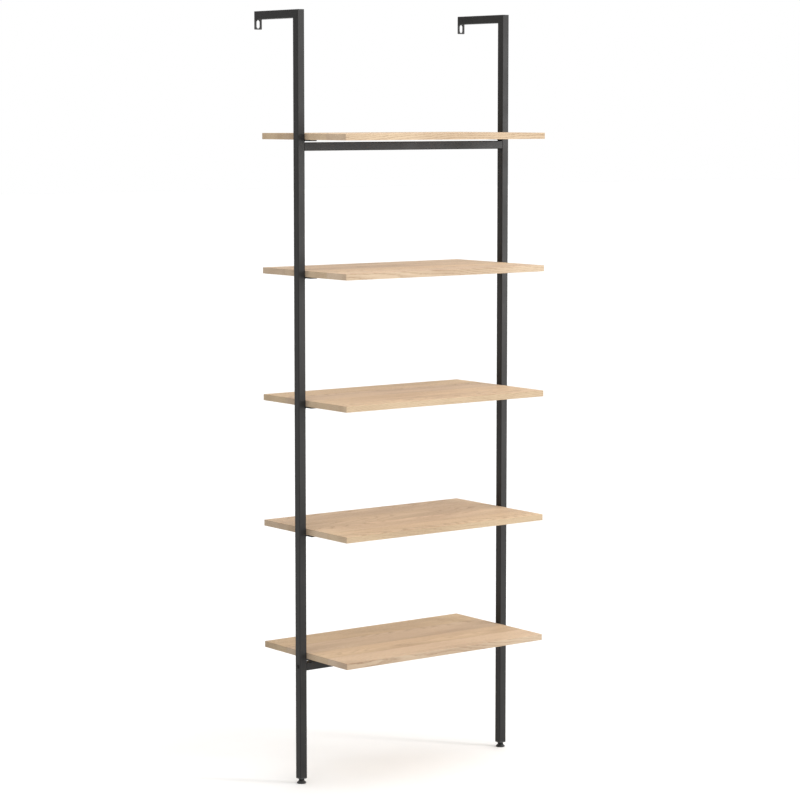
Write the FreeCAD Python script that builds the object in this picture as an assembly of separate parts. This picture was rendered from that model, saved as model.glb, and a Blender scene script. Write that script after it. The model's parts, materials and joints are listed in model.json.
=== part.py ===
import FreeCAD, Part
import math
import os

# Wall-fixed ladder shelf: two square-tube uprights, five boards between them, and an arm from each
# upright's top back to the wall. Millimetres, +Z up, +X to the right as seen from the front, +Y
# towards the wall. The origin is on the floor, under the middle of the whole shelf.

# Whole shelf
overall_height = 1855.0
wall_gap = 1.0                # the boards stop this far short of the wall

# Boards
board_length = 600.0
board_depth = 345.0
board_thickness = 15.0
board_edge_radius = 0.8
board_tops = (321.0, 623.0, 932.0, 1241.0, 1565.0)   # numbered from the bottom up

# Square tube, used for the uprights, arms and crossbars
tube_size = 20.0
tube_wall = 1.5
tube_corner = 2.0
post_setback = 175.0          # from the boards' front edge to the uprights' centre line
lower_crossbar_top = 297.0    # bolted between the uprights
upper_crossbar_top = 1544.0   # welded between them, the joints ground flush

# Wall plates, one on the back end of each arm
plate_thickness = 3.0
plate_height = 43.5
plate_corner = 1.5
slot_width = 10.5
slot_length = 20.0
slot_above_edge = 2.5         # from the plate's lower edge to the slot

# Bracket plates, one under each end of each board
bracket_reach = 20.0
bracket_width = 65.0
bracket_thickness = 3.0
bracket_corner = 4.0
bracket_weld = 2.5
screw_spacing = 44.0
screw_inset = 11.0            # from the board's end to the screws

# Board screws, countersunk flush in the bracket plates
screw_radius = 2.0
screw_length = 14.0
screw_tip = 3.0
screw_head_radius = 4.0
screw_head_rim = 0.3
screw_clearance = 0.1         # radial, between a screw and its countersunk hole
recess_length = 4.4
recess_width = 1.0
recess_depth = 1.6

# Lower crossbar's bolts and the threaded blocks they screw into
bolt_radius = 3.0
bolt_length = 30.0
bolt_head_radius = 5.5
bolt_head_height = 2.0
bolt_dome = 0.7               # rounding of the head's edge and of the shank's end
bolt_key = 4.0                # across the flats of the hexagon socket
bolt_key_depth = 1.5
bolt_hole_radius = 3.25
block_length = 10.0
fixed_clearance = 0.05        # radial, where one fixed piece sits in another
cut_margin = 1.0              # how far a cut starts and ends outside the piece that it goes through

# Levelling feet
pad_radius = 11.25
pad_rim = 2.6
pad_top_radius = 7.4
pad_height = 6.2
pad_shoulder = 0.9            # rounding between the pad's cone and its top
pad_chamfer = 0.6
collar_flats = 13.0
collar_chamfer = 0.7
collar_gap = 0.3              # above the pad, and below the plug
spigot_chamfer = 0.4
plug_flange = 3.0
plug_bottom = 12.0            # height of the plug's underside above the floor
plug_length = 22.0            # inside the tube
plug_core = 16.0
plug_chamfer = 0.8
rib_count = 3
rib_thickness = 1.4
stud_radius = 4.0
stud_reach = 24.5             # thread above the collar
thread_pitch = 1.25
thread_depth = 0.6
thread_crest = 0.1            # the crest's width, as a share of the pitch
running_clearance = 0.05      # radial, between the stud and the holes that it turns in
nut_flats = 13.0
nut_height = 6.5
nut_recess = 0.5              # the nut sits this far inside the plug's underside

# Places worked out from the sizes above
overall_depth = board_depth + wall_gap
board_front = -overall_depth / 2
wall_plane = overall_depth / 2
post_line = board_front + post_setback
board_end = board_length / 2
post_middle = board_end + tube_size / 2
tube_inside = tube_size - 2 * tube_wall
inside_corner = tube_corner - tube_wall
screw_head_height = screw_head_rim + screw_head_radius - screw_radius   # a 90 degree countersink
sides = {"left": -1, "right": 1}


def point(x, y, z):
    return FreeCAD.Vector(x, y, z)


def roundedSquare(size, corner, length):
    """A square bar along +Z from the origin, with its four long edges rounded."""
    bar = Part.makeBox(size, size, length, point(-size / 2, -size / 2, 0))
    long_edges = [edge for edge in bar.Edges if abs(edge.tangentAt(edge.FirstParameter).z) > 0.9]
    return bar.makeFillet(corner, long_edges)


def squareTube(length):
    outside = roundedSquare(tube_size, tube_corner, length)
    inside = roundedSquare(tube_inside, inside_corner, length)
    return outside.cut(inside)


def hexagonBar(flats, length):
    """A hexagonal bar along +Z from the origin, with two flats facing +Y and -Y."""
    corner_radius = flats / math.sqrt(3)
    corners = []
    for turn in range(7):
        angle = math.radians(60 * turn)
        corners.append(point(corner_radius * math.cos(angle), corner_radius * math.sin(angle), 0))
    return Part.Face(Part.makePolygon(corners)).extrude(point(0, 0, length))


def turned(outline):
    """A solid of revolution about Z, from a closed outline of (radius, height) pairs."""
    corners = [point(radius, 0, height) for radius, height in outline]
    wire = Part.makePolygon(corners + [corners[0]])
    return Part.Face(wire).revolve(point(0, 0, 0), point(0, 0, 1), 360)


def mitreWedge(keep_below):
    """The half space on one side of the 45 degree joint at an upright's top."""
    front = post_line - tube_size / 2
    reach = 2 * tube_size
    start = point(-tube_size, front - reach, overall_height + reach)
    end = point(-tube_size, front + reach, overall_height - reach)
    beyond = point(-tube_size, front + reach, overall_height + reach)
    if not keep_below:
        beyond = point(-tube_size, front - reach, overall_height - reach)
    face = Part.Face(Part.makePolygon([start, end, beyond, start]))
    return face.extrude(point(2 * tube_size, 0, 0))


def upright(side):
    """A tube from the foot plug's flange to the mitred corner, drilled for the lower crossbar's bolt."""
    bottom = plug_bottom + plug_flange
    post = squareTube(overall_height - bottom)
    post.translate(point(0, post_line, bottom))
    post = post.cut(mitreWedge(keep_below=True))
    start = point(-tube_size, post_line, lower_crossbar_top - tube_size / 2)
    post = post.cut(Part.makeCylinder(bolt_hole_radius, 2 * tube_size, start, point(1, 0, 0)))
    post.translate(point(side * post_middle, 0, 0))
    return post


def wallArm(side):
    """A tube from the mitred corner back to the wall plate, along +Y."""
    front = post_line - tube_size / 2
    arm = squareTube(wall_plane - plate_thickness - front)
    arm.rotate(point(0, 0, 0), point(1, 0, 0), -90)
    arm.translate(point(0, front, overall_height - tube_size / 2))
    arm = arm.cut(mitreWedge(keep_below=False))
    arm.translate(point(side * post_middle, 0, 0))
    return arm


def wallPlate(side):
    """The plate that closes an arm's end and hangs below it, with an upright slot for a wall screw."""
    bottom = overall_height - plate_height
    corner = point(-tube_size / 2, wall_plane - plate_thickness, bottom)
    plate = Part.makeBox(tube_size, plate_thickness, plate_height, corner)
    through_edges = [edge for edge in plate.Edges if abs(edge.tangentAt(edge.FirstParameter).y) > 0.9]
    plate = plate.makeFillet(plate_corner, through_edges)
    slot_radius = slot_width / 2
    low = bottom + slot_above_edge + slot_radius
    high = low + slot_length - slot_width
    start = wall_plane - 2 * plate_thickness
    depth = 3 * plate_thickness
    slot = Part.makeBox(slot_width, depth, high - low, point(-slot_radius, start, low))
    for height in (low, high):
        slot = slot.fuse(Part.makeCylinder(slot_radius, depth, point(0, start, height), point(0, 1, 0)))
    plate = plate.cut(slot)
    plate.translate(point(side * post_middle, 0, 0))
    return plate


def crossbar(top):
    bar = squareTube(board_length)
    bar.rotate(point(0, 0, 0), point(0, 1, 0), 90)
    bar.translate(point(-board_end, post_line, top - tube_size / 2))
    return bar


def crossbarBlocks(top):
    """A threaded block welded into each end of a bolted crossbar."""
    blocks = []
    size = tube_inside - 2 * fixed_clearance
    for side in sides.values():
        block = roundedSquare(size, inside_corner, block_length)
        thread = Part.makeCylinder(bolt_radius + fixed_clearance, block_length)
        block = block.cut(thread)
        block.rotate(point(0, 0, 0), point(0, 1, 0), -90 * side)
        block.translate(point(side * board_end, post_line, top - tube_size / 2))
        blocks.append(block)
    return Part.makeCompound(blocks)


def crossbarBolt():
    """A low button-head bolt along -Z: its head sits on the plane z = 0, its shank below it."""
    rim = bolt_head_height - bolt_dome
    outline = [
        (0, -bolt_length),
        (bolt_radius - bolt_dome, -bolt_length),
        (bolt_radius, -bolt_length + bolt_dome),
        (bolt_radius, 0),
        (bolt_head_radius, 0),
        (bolt_head_radius, rim),
        (bolt_head_radius - bolt_dome, bolt_head_height - bolt_dome / 4),
        (bolt_head_radius - 2 * bolt_dome, bolt_head_height),
        (0, bolt_head_height),
    ]
    socket = hexagonBar(bolt_key, bolt_key_depth)
    socket.translate(point(0, 0, bolt_head_height - bolt_key_depth))
    return turned(outline).cut(socket)


def crossbarBolts(top):
    """One bolt through each upright into a crossbar's end block."""
    bolts = []
    for side in sides.values():
        bolt = crossbarBolt()
        bolt.rotate(point(0, 0, 0), point(0, 1, 0), 90 * side)
        bolt.translate(point(side * (board_end + tube_size), post_line, top - tube_size / 2))
        bolts.append(bolt)
    return Part.makeCompound(bolts)


def screwPlaces(underside):
    """Where a board's four screws enter it."""
    places = []
    for side in sides.values():
        for along in (-screw_spacing / 2, screw_spacing / 2):
            places.append(point(side * (board_end - screw_inset), post_line + along, underside))
    return places


def screwHole():
    """The countersunk hole for a board screw, along +Z from a plate's underside at z = 0."""
    mouth = screw_head_radius + screw_clearance
    shank = screw_radius + screw_clearance
    far_end = bracket_thickness + cut_margin
    outline = [
        (0, -cut_margin),
        (mouth, -cut_margin),
        (mouth, screw_head_rim),
        (shank, screw_head_height),
        (shank, far_end),
        (0, far_end),
    ]
    return turned(outline)


def bracket(side, underside):
    """A flat plate welded to an upright's inner face, with a bead along the joint under it."""
    low = underside - bracket_thickness
    corner = point(0, post_line - bracket_width / 2, low)
    plate = Part.makeBox(bracket_reach, bracket_width, bracket_thickness, corner)
    inner = [
        edge for edge in plate.Edges
        if abs(edge.tangentAt(edge.FirstParameter).z) > 0.9 and edge.CenterOfMass.x > bracket_reach / 2
    ]
    plate = plate.makeFillet(bracket_corner, inner)
    flat = tube_size - 2 * tube_corner
    bead_corners = [
        point(0, post_line - flat / 2, low),
        point(bracket_weld, post_line - flat / 2, low),
        point(0, post_line - flat / 2, low - bracket_weld),
    ]
    bead = Part.Face(Part.makePolygon(bead_corners + bead_corners[:1])).extrude(point(0, flat, 0))
    plate = plate.fuse(bead)
    for along in (-screw_spacing / 2, screw_spacing / 2):
        hole = screwHole()
        hole.translate(point(screw_inset, post_line + along, low))
        plate = plate.cut(hole)
    if side > 0:
        plate = plate.mirror(point(0, 0, 0), point(1, 0, 0))
    plate.translate(point(side * board_end, 0, 0))
    return plate


def boardScrew():
    """A countersunk wood screw along +Z, its head's face on the plane z = 0."""
    outline = [
        (0, 0),
        (screw_head_radius, 0),
        (screw_head_radius, screw_head_rim),
        (screw_radius, screw_head_height),
        (screw_radius, screw_length - screw_tip),
        (0, screw_length),
    ]
    half_length = recess_length / 2
    half_width = recess_width / 2
    recess = Part.makeBox(recess_length, recess_width, recess_depth, point(-half_length, -half_width, 0))
    across = Part.makeBox(recess_width, recess_length, recess_depth, point(-half_width, -half_length, 0))
    return turned(outline).cut(recess.fuse(across))


def boardScrews(underside):
    screws = []
    for place in screwPlaces(underside - bracket_thickness):
        screw = boardScrew()
        screw.translate(place)
        screws.append(screw)
    return Part.makeCompound(screws)


def board(top):
    """A board with slightly eased edges, and a pilot hole for each screw."""
    underside = top - board_thickness
    corner = point(-board_end, board_front, underside)
    plank = Part.makeBox(board_length, board_depth, board_thickness, corner)
    plank = plank.makeFillet(board_edge_radius, plank.Edges)
    depth = screw_length - bracket_thickness - screw_tip
    pilot = [(0, -cut_margin), (screw_radius, -cut_margin), (screw_radius, depth), (0, depth + screw_tip)]
    for place in screwPlaces(underside):
        hole = turned(pilot)
        hole.translate(place)
        plank = plank.cut(hole)
    return plank


def footPlug():
    """The ribbed plug in an upright's open end, bored for the stud, with a nut pocket underneath."""
    flange = roundedSquare(tube_size, tube_corner, plug_flange)
    lower_edges = [edge for edge in flange.Edges if edge.BoundBox.ZMax < plug_flange / 2]
    flange = flange.makeChamfer(plug_chamfer, lower_edges)
    core = roundedSquare(plug_core, inside_corner, plug_length)
    core.translate(point(0, 0, plug_flange))
    plug = flange.fuse(core)
    rib_step = plug_length / rib_count
    for count in range(rib_count):
        rib = roundedSquare(tube_inside - 2 * fixed_clearance, inside_corner, rib_thickness)
        rib.translate(point(0, 0, plug_flange + (count + 0.5) * rib_step))
        plug = plug.fuse(rib)
    whole_length = plug_flange + plug_length
    bore = Part.makeCylinder(stud_radius + running_clearance, whole_length)
    pocket = hexagonBar(nut_flats + 2 * fixed_clearance, nut_recess + nut_height)
    plug = plug.cut(bore).cut(pocket)
    plug.translate(point(0, 0, plug_bottom))
    return plug


def footNut():
    """The nut that the stud screws through, in the plug's lower end."""
    nut = hexagonBar(nut_flats, nut_height)
    nut = nut.cut(Part.makeCylinder(stud_radius + running_clearance, nut_height))
    nut.translate(point(0, 0, plug_bottom + nut_recess))
    return nut


def threadOutline(start, length):
    """The ridged side of a threaded shank, as (radius, height) pairs going up."""
    outline = []
    flank = thread_pitch * (1 - thread_crest) / 2
    for turn in range(int(length / thread_pitch)):
        height = start + turn * thread_pitch
        outline.append((stud_radius - thread_depth, height))
        outline.append((stud_radius, height + flank))
        outline.append((stud_radius, height + thread_pitch - flank))
    outline.append((stud_radius - thread_depth, start + length))
    return outline


def footStud():
    """A spigot that turns in the pad, a hexagon collar for a spanner, and the thread above it."""
    collar_low = pad_height + collar_gap
    collar_high = plug_bottom - collar_gap
    outline = [
        (0, pad_rim),
        (stud_radius - spigot_chamfer, pad_rim),
        (stud_radius, pad_rim + spigot_chamfer),
        (stud_radius, collar_high),
    ]
    outline += threadOutline(collar_high + thread_pitch / 2, stud_reach - thread_pitch / 2)
    outline += [(0, collar_high + stud_reach)]
    collar = hexagonBar(collar_flats, collar_high - collar_low)
    corner_radius = collar_flats / math.sqrt(3)
    collar_height = collar_high - collar_low
    eased_corners = turned([
        (0, 0),
        (corner_radius - collar_chamfer, 0),
        (corner_radius, collar_height / 2),
        (corner_radius - collar_chamfer, collar_height),
        (0, collar_height),
    ])
    collar = collar.common(eased_corners)
    collar.translate(point(0, 0, collar_low))
    return turned(outline).fuse(collar)


def footPad():
    """A flared disc that stands on the floor, with a socket for the stud's spigot."""
    bore = stud_radius + running_clearance
    socket_floor = pad_rim - collar_gap
    outline = [
        (0, 0),
        (pad_radius - pad_chamfer, 0),
        (pad_radius, pad_chamfer),
        (pad_radius, pad_rim),
        (pad_top_radius + pad_shoulder, pad_height - pad_shoulder),
        (pad_top_radius, pad_height),
        (bore, pad_height),
        (bore, socket_floor),
        (0, socket_floor),
    ]
    return turned(outline)


def atPost(shape, side):
    shape.translate(point(side * post_middle, post_line, 0))
    return shape


def save(shape, node):
    shape.exportStep("parts/" + node + ".step")


def main():
    os.makedirs("parts", exist_ok=True)
    for name, side in sides.items():
        save(upright(side), name + "_upright")
        save(wallArm(side), name + "_wall_arm")
        save(wallPlate(side), name + "_wall_plate")
        save(atPost(footPlug(), side), name + "_foot_plug")
        save(atPost(footNut(), side), name + "_foot_nut")
        save(atPost(footStud(), side), name + "_foot_stud")
        save(atPost(footPad(), side), name + "_foot_pad")
    save(crossbar(upper_crossbar_top), "upper_crossbar")
    save(crossbar(lower_crossbar_top), "lower_crossbar")
    save(crossbarBlocks(lower_crossbar_top), "lower_crossbar_blocks")
    save(crossbarBolts(lower_crossbar_top), "lower_crossbar_bolts")
    for number, top in enumerate(board_tops, start=1):
        underside = top - board_thickness
        save(board(top), "board_" + str(number))
        save(boardScrews(underside), "board_screws_" + str(number))
        for name, side in sides.items():
            save(bracket(side, underside), name + "_bracket_" + str(number))


main()
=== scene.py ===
import json
import math

import bmesh
import bpy
from mathutils import Matrix, Vector


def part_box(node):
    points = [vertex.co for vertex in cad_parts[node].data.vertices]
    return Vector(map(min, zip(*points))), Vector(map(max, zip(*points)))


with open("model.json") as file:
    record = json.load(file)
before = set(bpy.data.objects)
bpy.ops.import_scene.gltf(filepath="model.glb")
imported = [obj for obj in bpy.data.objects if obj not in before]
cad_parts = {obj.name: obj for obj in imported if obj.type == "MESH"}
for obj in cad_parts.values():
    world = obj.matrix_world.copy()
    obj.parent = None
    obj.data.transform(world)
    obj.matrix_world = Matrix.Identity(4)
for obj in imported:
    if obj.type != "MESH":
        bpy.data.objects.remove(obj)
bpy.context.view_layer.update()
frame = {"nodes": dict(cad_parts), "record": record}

cadNodes = frame["nodes"]
print("frame in:", len(cadNodes), "CAD nodes")


# Small helpers for building node trees. A value given as a socket is linked, anything else is set.
def putNode(tree, kind, inputs=None, **settings):
    node = tree.nodes.new("ShaderNode" + kind)
    for key, value in settings.items():
        setattr(node, key, value)
    for key, value in (inputs or {}).items():
        if isinstance(value, bpy.types.NodeSocket):
            tree.links.new(value, node.inputs[key])
        else:
            node.inputs[key].default_value = value
    return node


def calc(tree, operation, a, b=0.0, clamp=False):
    return putNode(tree, "Math", {0: a, 1: b}, operation=operation, use_clamp=clamp).outputs[0]


def remap(tree, value, low, high, newLow, newHigh):
    inputs = {"Value": value, "From Min": low, "From Max": high, "To Min": newLow, "To Max": newHigh}
    return putNode(tree, "MapRange", inputs, interpolation_type="SMOOTHSTEP").outputs["Result"]


def blendColour(tree, factor, colourA, colourB, how="MIX"):
    a = colourA if isinstance(colourA, bpy.types.NodeSocket) else (*colourA, 1)
    b = colourB if isinstance(colourB, bpy.types.NodeSocket) else (*colourB, 1)
    node = putNode(tree, "Mix", {0: factor, 6: a, 7: b}, data_type="RGBA", blend_type=how)
    return node.outputs[2]


def stretched(tree, place, scales):
    return putNode(tree, "VectorMath", {0: place, 1: scales}, operation="MULTIPLY").outputs[0]


def speckle(tree, place, scale, detail=2.0, roughness=0.5):
    inputs = {"Vector": place, "Scale": scale, "Detail": detail, "Roughness": roughness}
    return putNode(tree, "TexNoise", inputs).outputs["Fac"]


def bumped(tree, shader, height, strength, depth, under=None):
    inputs = {"Height": height, "Strength": strength, "Distance": depth}
    if under:
        inputs["Normal"] = under
    normal = putNode(tree, "Bump", inputs).outputs["Normal"]
    tree.links.new(normal, shader.inputs["Normal"])
    return normal


# An edge is where a rounded surface and the real one face different ways: 1 is the same way
edges = {"samples": 4, "flat": 0.98, "sharp": 0.80}


def edgeMask(tree, radius):
    # 1 on corners and edges, 0 on flats
    rounded = putNode(tree, "Bevel", {"Radius": radius}, samples=edges["samples"]).outputs["Normal"]
    real = putNode(tree, "NewGeometry").outputs["Normal"]
    alike = putNode(tree, "VectorMath", {0: rounded, 1: real}, operation="DOT_PRODUCT").outputs["Value"]
    return remap(tree, alike, edges["flat"], edges["sharp"], 0.0, 1.0)


def shaded(tree, colour, shade):
    shades = putNode(tree, "CombineXYZ", {0: shade, 1: shade, 2: shade}).outputs[0]
    return blendColour(tree, 1.0, colour, shades, "MULTIPLY")


def newFinish(name):
    finish = bpy.data.materials.new(name)
    finish.use_nodes = True
    tree = finish.node_tree
    return finish, tree, tree.nodes["Principled BSDF"]


def objectPlace(tree):
    return putNode(tree, "TexCoord").outputs["Object"]


# Growth rings: they lie round a pith under each stave, a little askew, bent by slow waves. Metres.
rings = {
    "width": 0.0036,
    "ragged": 0.30,  # in rings
    "raggedStretch": (30.0, 420.0, 420.0),
    "waveStretch": (2.6, 8.0, 8.0),
    "waveReach": (0.0, 0.034, 0.034),
    "pithAside": 0.055,  # from the stave's middle, either way
    "pithLow": -0.085,
    "pithHigh": -0.020,
    "pithSkew": 0.085,
    "raysFrom": 0.70,  # how steeply the rings stand where rays begin to show
    "raysFull": 0.97,
}


def growthRings(tree, place, middleY, luck):
    waves = {"Vector": stretched(tree, place, rings["waveStretch"]), "Scale": 1.0, "Detail": 3.0}
    wave = putNode(tree, "TexNoise", waves).outputs["Color"]
    wave = putNode(tree, "VectorMath", {0: wave, 1: (0.5, 0.5, 0.5)}, operation="SUBTRACT").outputs[0]
    wave = stretched(tree, wave, rings["waveReach"])
    bent = putNode(tree, "SeparateXYZ", {0: putNode(tree, "VectorMath", {0: place, 1: wave}).outputs[0]})
    aside = remap(tree, luck.outputs[0], 0.0, 1.0, -rings["pithAside"], rings["pithAside"])
    pithY = calc(tree, "ADD", middleY, aside)
    pithZ = remap(tree, luck.outputs[1], 0.0, 1.0, rings["pithLow"], rings["pithHigh"])
    skew = remap(tree, luck.outputs[2], 0.0, 1.0, -rings["pithSkew"], rings["pithSkew"])
    across = calc(tree, "SUBTRACT", bent.outputs["Y"], pithY)
    lean = calc(tree, "MULTIPLY", bent.outputs["X"], skew)
    above = calc(tree, "ADD", calc(tree, "SUBTRACT", bent.outputs["Z"], pithZ), lean)
    square = calc(tree, "ADD", calc(tree, "MULTIPLY", across, across), calc(tree, "MULTIPLY", above, above))
    radius = calc(tree, "SQRT", square)
    ragged = speckle(tree, stretched(tree, place, rings["raggedStretch"]), 1.0, 2.0)
    ragged = calc(tree, "MULTIPLY", ragged, rings["ragged"])
    count = calc(tree, "ADD", calc(tree, "DIVIDE", radius, rings["width"]), ragged)
    steepness = calc(tree, "DIVIDE", calc(tree, "ABSOLUTE", across), radius)
    quarterSawn = remap(tree, steepness, rings["raysFrom"], rings["raysFull"], 0.0, 1.0)
    return calc(tree, "FRACT", count), quarterSawn


# Oak boards: solid staves glued side by side, the grain along the length. Metres.
oak = {
    "glueLines": (-0.095, -0.018, 0.078),  # across the depth, front to back
    "glueWidth": 0.00022,
    "glueDark": 0.5,
    "alongLog": (9.0, 0.0, 0.0),  # the staves are cut up to this far apart
    "springEnd": 0.60,  # the share of a ring that is open spring wood
    "springDark": 0.16,
    "springSunk": 0.3,
    "poreStretch": (110.0, 1700.0, 1700.0),
    "springPores": (0.47, 0.60),
    "strayPores": (0.66, 0.74),
    "strayPoreShare": 0.7,
    "poreDark": 0.42,
    "poreRough": 0.22,
    "fibreStretch": (7.0, 330.0, 330.0),
    "fibreDetail": (4.0, 0.65),
    "fibreRange": (0.28, 0.72),
    "fibreDark": 0.20,
    "fibreRough": 0.16,
    "fibreRise": 0.4,
    "patchStretch": (3.2, 13.0, 13.0),
    "patchRange": (0.32, 0.68),
    "patchDark": 0.20,
    "patchLight": -0.12,
    "rayStretch": (300.0, 80.0, 80.0),
    "flecks": (0.56, 0.66),
    "fleckShow": 0.16,
    "fleckOnEdge": 0.3,  # rays show less on the boards' edges than on their faces
    "faceTurn": (0.3, 0.9),  # how squarely a surface must face up or down to be a face
    "fleckGloss": 0.07,
    "honey": (0.655, 0.462, 0.262),
    "rosy": (0.610, 0.440, 0.282),
    "brown": (0.290, 0.166, 0.085),
    "fleck": (0.740, 0.570, 0.380),
    "longEdgeTint": (0.68, 0.73, 0.81),  # the edge bands are a cooler strip than the faces
    # the ends are darker: partly their own band's colour, partly painted shade
    "endTintAndShade": (0.72, 0.78, 0.90),
    "bandTurn": (0.55, 0.90),
    "frontTone": 1.02,
    "backTone": 0.93,
    "staveTones": (0.96, 1.04),
    # painted shade: the arrises are darkened to stand for the shadow line along them
    "arrisShadeRadius": 0.0014,
    "arrisShadeTone": 0.88,
    "toneAtFloor": 0.955,
    "paintedLightPerMetre": 0.14,  # painted light: the higher boards are painted a little paler, standing for light and sheen and not for the wood
    "gloss": 0.50,
    "relief": (0.55, 0.00014),  # strength, then depth
    "specular": 0.12,
    "sheen": 0.14,
    "sheenRoughness": 0.35,
}


def oakFinish(name, low, high, seed):
    finish, tree, shader = newFinish(name)
    centre = (low + high) / 2
    depth = high.y - low.y
    centred = putNode(tree, "VectorMath", {0: objectPlace(tree), 1: centre}, operation="SUBTRACT").outputs[0]
    parts = putNode(tree, "SeparateXYZ", {0: centred})

    # which stave a point is in, counted from the front, and whether it is on a glue line
    joints = (-depth / 2, *oak["glueLines"], depth / 2)
    middles = [(front + back) / 2 for front, back in zip(joints, joints[1:])]
    steps = [back - front for front, back in zip(middles, middles[1:])]
    stave, middleY, glue = 0.0, middles[0], 0.0
    for line, step in zip(oak["glueLines"], steps):
        past = calc(tree, "GREATER_THAN", parts.outputs["Y"], line)
        stave = calc(tree, "ADD", past, stave)
        middleY = calc(tree, "ADD", calc(tree, "MULTIPLY", past, step), middleY)
        away = calc(tree, "ABSOLUTE", calc(tree, "SUBTRACT", parts.outputs["Y"], line))
        glue = calc(tree, "ADD", calc(tree, "LESS_THAN", away, oak["glueWidth"] / 2), glue)
    chance = putNode(tree, "TexWhiteNoise", {"W": calc(tree, "ADD", stave, seed)}, noise_dimensions="1D")
    luck = putNode(tree, "SeparateColor", {0: chance.outputs["Color"]})
    # every stave is cut from another part of the log
    shift = stretched(tree, chance.outputs["Color"], oak["alongLog"])
    place = putNode(tree, "VectorMath", {0: centred, 1: (seed, 0.0, 0.0)}).outputs[0]
    place = putNode(tree, "VectorMath", {0: place, 1: shift}).outputs[0]

    ring, quarterSawn = growthRings(tree, centred, middleY, luck)
    springWood = remap(tree, ring, 0.0, oak["springEnd"], 1.0, 0.0)
    dashes = speckle(tree, stretched(tree, place, oak["poreStretch"]), 1.0, 1.0)
    densePores = calc(tree, "MULTIPLY", remap(tree, dashes, *oak["springPores"], 0.0, 1.0), springWood)
    strayPores = remap(tree, dashes, *oak["strayPores"], 0.0, oak["strayPoreShare"])
    pores = calc(tree, "MAXIMUM", densePores, strayPores)
    fibres = speckle(tree, stretched(tree, place, oak["fibreStretch"]), 1.0, *oak["fibreDetail"])
    patches = speckle(tree, stretched(tree, place, oak["patchStretch"]), 1.0, 2.0)
    rays = speckle(tree, stretched(tree, place, oak["rayStretch"]), 1.0, 3.0)
    flecks = calc(tree, "MULTIPLY", remap(tree, rays, *oak["flecks"], 0.0, 1.0), quarterSawn)
    facing = putNode(tree, "SeparateXYZ", {0: putNode(tree, "NewGeometry").outputs["Normal"]})
    level = calc(tree, "ABSOLUTE", facing.outputs["Z"])
    onFace = remap(tree, level, *oak["faceTurn"], oak["fleckOnEdge"], 1.0)
    flecks = calc(tree, "MULTIPLY", flecks, onFace)

    darkness = calc(tree, "MULTIPLY", springWood, oak["springDark"])
    darkness = calc(tree, "ADD", darkness, remap(tree, fibres, *oak["fibreRange"], oak["fibreDark"], 0.0))
    darkness = calc(tree, "ADD", darkness, calc(tree, "MULTIPLY", pores, oak["poreDark"]))
    patchy = remap(tree, patches, *oak["patchRange"], oak["patchDark"], oak["patchLight"])
    darkness = calc(tree, "ADD", darkness, patchy)
    darkness = calc(tree, "ADD", darkness, calc(tree, "MULTIPLY", glue, oak["glueDark"]), clamp=True)
    wood = blendColour(tree, luck.outputs[0], oak["honey"], oak["rosy"])
    wood = blendColour(tree, darkness, wood, oak["brown"])
    wood = blendColour(tree, calc(tree, "MULTIPLY", flecks, oak["fleckShow"]), wood, oak["fleck"])

    # the edges carry their own bands, with painted shade on the ends too, each stave has its own tone, the
    # higher boards get painted light, and painted shade darkens the arrises
    # the ends' darkening is partly the band's colour and partly painted shade
    for axis, tint in (("X", oak["endTintAndShade"]), ("Y", oak["longEdgeTint"])):
        onBand = remap(tree, calc(tree, "ABSOLUTE", facing.outputs[axis]), *oak["bandTurn"], 0.0, 1.0)
        wood = blendColour(tree, onBand, wood, tint, "MULTIPLY")
    # painted light: each board's colour grows paler with its height, a painted sheen on top of the staves'
    # own tones
    boardToneAndPaintedLight = oak["toneAtFloor"] + oak["paintedLightPerMetre"] * high.z
    atBack = calc(tree, "GREATER_THAN", parts.outputs["Y"], oak["glueLines"][1])
    toneAndPaintedLight = remap(tree, atBack, 0.0, 1.0, oak["frontTone"] * boardToneAndPaintedLight, oak["backTone"] * boardToneAndPaintedLight)
    toneAndPaintedLight = calc(tree, "MULTIPLY", toneAndPaintedLight, remap(tree, chance.outputs["Value"], 0.0, 1.0, *oak["staveTones"]))
    # painted shade: a dark line along the arrises, standing for the shadow at the edge
    paintedArrisShade = remap(tree, edgeMask(tree, oak["arrisShadeRadius"]), 0.0, 1.0, 1.0, oak["arrisShadeTone"])
    toneAndPaintedLight = calc(tree, "MULTIPLY", toneAndPaintedLight, paintedArrisShade)
    tree.links.new(shaded(tree, wood, toneAndPaintedLight), shader.inputs["Base Color"])

    roughness = calc(tree, "ADD", calc(tree, "MULTIPLY", fibres, oak["fibreRough"]), oak["gloss"])
    roughness = calc(tree, "SUBTRACT", roughness, calc(tree, "MULTIPLY", flecks, oak["fleckGloss"]))
    roughness = calc(tree, "ADD", roughness, calc(tree, "MULTIPLY", pores, oak["poreRough"]))
    tree.links.new(roughness, shader.inputs["Roughness"])
    height = calc(tree, "SUBTRACT", calc(tree, "MULTIPLY", fibres, oak["fibreRise"]), pores)
    sunk = calc(tree, "ADD", glue, calc(tree, "MULTIPLY", springWood, oak["springSunk"]))
    bumped(tree, shader, calc(tree, "SUBTRACT", height, sunk), *oak["relief"])
    shader.inputs["Specular IOR Level"].default_value = oak["specular"]
    shader.inputs["Sheen Weight"].default_value = oak["sheen"]
    shader.inputs["Sheen Roughness"].default_value = oak["sheenRoughness"]
    return finish


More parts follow.
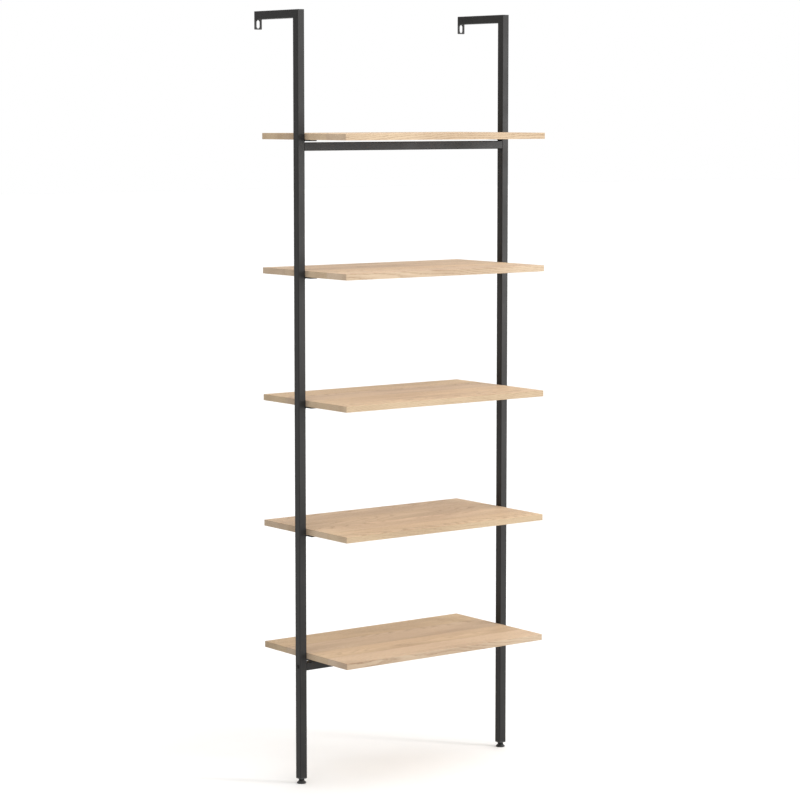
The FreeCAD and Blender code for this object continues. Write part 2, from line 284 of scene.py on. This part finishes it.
# Black powder coat: fine orange peel, with a painted highlight that makes it a touch greyer along the edges
powder = {
    "black": (0.0215, 0.0208, 0.0203),
    # painted highlight: the edges are made greyer to stand for light caught on them
    "edgeHighlightBlack": (0.050, 0.049, 0.048),
    "edgeHighlightShow": 0.6,
    "edgeRadius": 0.0012,
    "grain": 1500.0,
    "peel": 420.0,
    "drift": 14.0,
    "grainRelief": (0.35, 0.00012),  # strength, then depth
    "peelRelief": (0.22, 0.0006),
    "grainShade": 0.5,
    "shadeRange": (0.4, 1.1),
    "shades": (0.84, 1.18),
    "grainRough": 0.4,
    "roughRange": (0.4, 1.0),
    "roughness": (0.33, 0.46),
    "specular": 0.15,
}


def powderFinish(name):
    finish, tree, shader = newFinish(name)
    place = objectPlace(tree)
    grain = speckle(tree, place, powder["grain"], 2.0)
    peel = speckle(tree, place, powder["peel"], 1.0)
    drift = speckle(tree, place, powder["drift"], 3.0)
    # painted highlight: greyer along the edges, standing for light on the arrises
    paintedEdgeHighlight = calc(tree, "MULTIPLY", edgeMask(tree, powder["edgeRadius"]), powder["edgeHighlightShow"])
    black = blendColour(tree, paintedEdgeHighlight, powder["black"], powder["edgeHighlightBlack"])
    uneven = calc(tree, "ADD", calc(tree, "MULTIPLY", grain, powder["grainShade"]), drift)
    shade = remap(tree, uneven, *powder["shadeRange"], *powder["shades"])
    tree.links.new(shaded(tree, black, shade), shader.inputs["Base Color"])
    uneven = calc(tree, "ADD", drift, calc(tree, "MULTIPLY", grain, powder["grainRough"]))
    rough = remap(tree, uneven, *powder["roughRange"], *powder["roughness"])
    tree.links.new(rough, shader.inputs["Roughness"])
    under = bumped(tree, shader, peel, *powder["peelRelief"])
    bumped(tree, shader, grain, *powder["grainRelief"], under)
    shader.inputs["Specular IOR Level"].default_value = powder["specular"]
    return finish


# Moulded black plastic of the feet: fine spark-eroded grain, rubbed paler along the edges
plastic = {
    "black": (0.0150, 0.0150, 0.0155),
    "rubbed": (0.060, 0.060, 0.062),
    "edgeRadius": 0.0008,
    "leastRub": 0.2,
    "spark": 2200.0,
    "cloud": 60.0,
    "cloudRange": (0.35, 0.65),
    "scuffStretch": (300.0, 300.0, 1400.0),
    "scuffRange": (0.5, 0.7),
    "cloudRough": 0.14,
    "roughness": (0.42, 0.50),
    "relief": (0.4, 0.00006),
}


def plasticFinish(name):
    finish, tree, shader = newFinish(name)
    place = objectPlace(tree)
    spark = speckle(tree, place, plastic["spark"], 2.0)
    cloud = speckle(tree, place, plastic["cloud"], 3.0)
    scuffs = speckle(tree, stretched(tree, place, plastic["scuffStretch"]), 1.0, 2.0)
    patchy = remap(tree, cloud, *plastic["cloudRange"], plastic["leastRub"], 1.0)
    rub = calc(tree, "MULTIPLY", edgeMask(tree, plastic["edgeRadius"]), patchy)
    tree.links.new(blendColour(tree, rub, plastic["black"], plastic["rubbed"]), shader.inputs["Base Color"])
    scuffed = remap(tree, scuffs, *plastic["scuffRange"], *plastic["roughness"])
    rough = calc(tree, "ADD", calc(tree, "MULTIPLY", cloud, plastic["cloudRough"]), scuffed)
    tree.links.new(rough, shader.inputs["Roughness"])
    bumped(tree, shader, spark, *plastic["relief"])
    return finish


# Blackened steel of the bolts, studs and board screws
blackSteel = {
    "black": (0.014, 0.0138, 0.0135),
    "rubbed": (0.16, 0.155, 0.15),
    "edgeRadius": 0.0006,
    "leastRub": 0.3,
    "cloud": 90.0,
    "rubRange": (0.4, 0.6),
    "roughRange": (0.3, 0.7),
    "lineStretch": (2400.0, 500.0, 500.0),
    "roughness": (0.34, 0.50),
    "relief": (0.25, 0.00004),
    "metallic": 0.6,
    "specular": 0.25,
}


def blackSteelFinish(name):
    finish, tree, shader = newFinish(name)
    place = objectPlace(tree)
    cloud = speckle(tree, place, blackSteel["cloud"], 3.0)
    lines = speckle(tree, stretched(tree, place, blackSteel["lineStretch"]), 1.0, 2.0)
    patchy = remap(tree, cloud, *blackSteel["rubRange"], blackSteel["leastRub"], 1.0)
    rub = calc(tree, "MULTIPLY", edgeMask(tree, blackSteel["edgeRadius"]), patchy)
    steel = blendColour(tree, rub, blackSteel["black"], blackSteel["rubbed"])
    tree.links.new(steel, shader.inputs["Base Color"])
    rough = remap(tree, cloud, *blackSteel["roughRange"], *blackSteel["roughness"])
    tree.links.new(rough, shader.inputs["Roughness"])
    bumped(tree, shader, lines, *blackSteel["relief"])
    shader.inputs["Metallic"].default_value = blackSteel["metallic"]
    shader.inputs["Specular IOR Level"].default_value = blackSteel["specular"]
    return finish


# Bright zinc of the hidden pieces: the lower crossbar's end blocks and the feet's nuts
zinc = {
    "blue": (0.60, 0.615, 0.64),
    "yellow": (0.70, 0.67, 0.60),
    "rubbed": (0.80, 0.80, 0.80),
    "edgeRadius": 0.0005,
    "cloud": 120.0,
    "lineStretch": (400.0, 400.0, 3000.0),
    "lineRange": (0.3, 0.7),
    "roughness": (0.24, 0.42),
    "relief": (0.2, 0.00004),
}


def zincFinish(name):
    finish, tree, shader = newFinish(name)
    place = objectPlace(tree)
    cloud = speckle(tree, place, zinc["cloud"], 3.0)
    lines = speckle(tree, stretched(tree, place, zinc["lineStretch"]), 1.0, 3.0)
    tint = blendColour(tree, cloud, zinc["blue"], zinc["yellow"])
    rub = edgeMask(tree, zinc["edgeRadius"])
    tree.links.new(blendColour(tree, rub, tint, zinc["rubbed"]), shader.inputs["Base Color"])
    rough = remap(tree, lines, *zinc["lineRange"], *zinc["roughness"])
    tree.links.new(rough, shader.inputs["Roughness"])
    bumped(tree, shader, lines, *zinc["relief"])
    shader.inputs["Metallic"].default_value = 1.0
    return finish


def dress(node, finish):
    mesh = node.data
    mesh.materials.clear()
    mesh.materials.append(finish)


slotOf = {}
for part in frame["record"]["subparts"]:
    slotOf[part["node"]] = part["material_slot"]

finishes = {
    "frame_steel": powderFinish("powderCoat"),
    "black_plastic": plasticFinish("footPlastic"),
    "black_hardware": blackSteelFinish("blackBoltSteel"),
    "zinc_steel": zincFinish("zincPlate"),
}
grainSeed = {"start": 3.7, "step": 11.3}
boardSeed = grainSeed["start"]
for name in sorted(cadNodes):
    slotName = slotOf[name]
    if slotName == "oak_board":
        low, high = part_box(name)
        boardSeed += grainSeed["step"]
        dress(cadNodes[name], oakFinish("oak_" + name, low, high, boardSeed))
    else:
        dress(cadNodes[name], finishes[slotName])
print("finishes on")

# Floor and studio light. The room is lighter towards the front right.
studio = {
    "floorReach": 40.0,
    "floorPaint": (0.93, 0.93, 0.925),
    "mottle": 3.0,
    "mottleRange": (0.3, 0.7),
    "floorShades": (0.98, 1.02),
    "floorRoughness": 0.85,
    "horizon": 1.05,
    "overhead": 1.50,
    "brightSide": (0.6, -0.8, 0.0),
    "nearFill": 1.25,
    "farFill": 0.54,
    "strip": {"place": (2.95, -3.6, 1.45), "aim": (0, 0, 0.9), "size": (0.60, 2.4), "power": 105},
}


def layFloor():
    reach = studio["floorReach"]
    mesh = bpy.data.meshes.new("floor")
    build = bmesh.new()
    corners = [build.verts.new((x * reach, y * reach, 0)) for x, y in ((-1, -1), (1, -1), (1, 1), (-1, 1))]
    build.faces.new(corners)
    build.to_mesh(mesh)
    build.free()
    floor = bpy.data.objects.new("floor", mesh)
    bpy.context.scene.collection.objects.link(floor)
    finish, tree, shader = newFinish("floorPaint")
    mottle = speckle(tree, objectPlace(tree), studio["mottle"], 4.0)
    mottle = remap(tree, mottle, *studio["mottleRange"], *studio["floorShades"])
    tree.links.new(shaded(tree, studio["floorPaint"], mottle), shader.inputs["Base Color"])
    shader.inputs["Roughness"].default_value = studio["floorRoughness"]
    mesh.materials.append(finish)


def hangStripLight(strip):
    lamp = bpy.data.lights.new("stripLight", "AREA")
    lamp.shape = "RECTANGLE"
    lamp.size, lamp.size_y = strip["size"]
    lamp.energy = strip["power"]
    holder = bpy.data.objects.new("stripLight", lamp)
    bpy.context.scene.collection.objects.link(holder)
    holder.location = strip["place"]
    towards = Vector(strip["aim"]) - Vector(strip["place"])
    holder.rotation_euler = towards.to_track_quat("-Z", "Y").to_euler()


def lightStudio():
    world = bpy.data.worlds.new("studioWhite")
    world.use_nodes = True
    tree = world.node_tree
    direction = putNode(tree, "TexCoord").outputs["Generated"]
    height = putNode(tree, "SeparateXYZ", {0: direction}).outputs["Z"]
    strength = remap(tree, height, 0.0, 1.0, studio["horizon"], studio["overhead"])
    along = {0: direction, 1: studio["brightSide"]}
    side = putNode(tree, "VectorMath", along, operation="DOT_PRODUCT").outputs["Value"]
    fill = remap(tree, side, -1.0, 1.0, studio["farFill"], studio["nearFill"])
    strength = calc(tree, "MULTIPLY", strength, fill)
    seen = putNode(tree, "LightPath").outputs["Is Camera Ray"]  # the backdrop itself is plain white
    tree.links.new(calc(tree, "MAXIMUM", strength, seen), tree.nodes["Background"].inputs["Strength"])
    tree.nodes["Background"].inputs["Color"].default_value = (1, 1, 1, 1)
    bpy.context.scene.world = world
    hangStripLight(studio["strip"])


# Camera: from the front left, at about the top board's height. Metres, degrees, millimetres of lens.
view = {"place": (-3.903, -5.162, 1.618), "turn": 37.00, "tilt": -6.22, "lens": 119.4, "reach": 200}


def setCamera():
    lens = bpy.data.cameras.new("shelfCamera")
    lens.lens = view["lens"]
    lens.clip_end = view["reach"]
    camera = bpy.data.objects.new("shelfCamera", lens)
    bpy.context.scene.collection.objects.link(camera)
    turn = Matrix.Rotation(math.radians(-view["turn"]), 4, "Z")
    tilt = Matrix.Rotation(math.radians(90 + view["tilt"]), 4, "X")
    camera.matrix_world = Matrix.Translation(view["place"]) @ turn @ tilt
    bpy.context.scene.camera = camera


layFloor()
lightStudio()
setCamera()
bpy.context.scene.view_settings.view_transform = "Standard"
print("studio set")
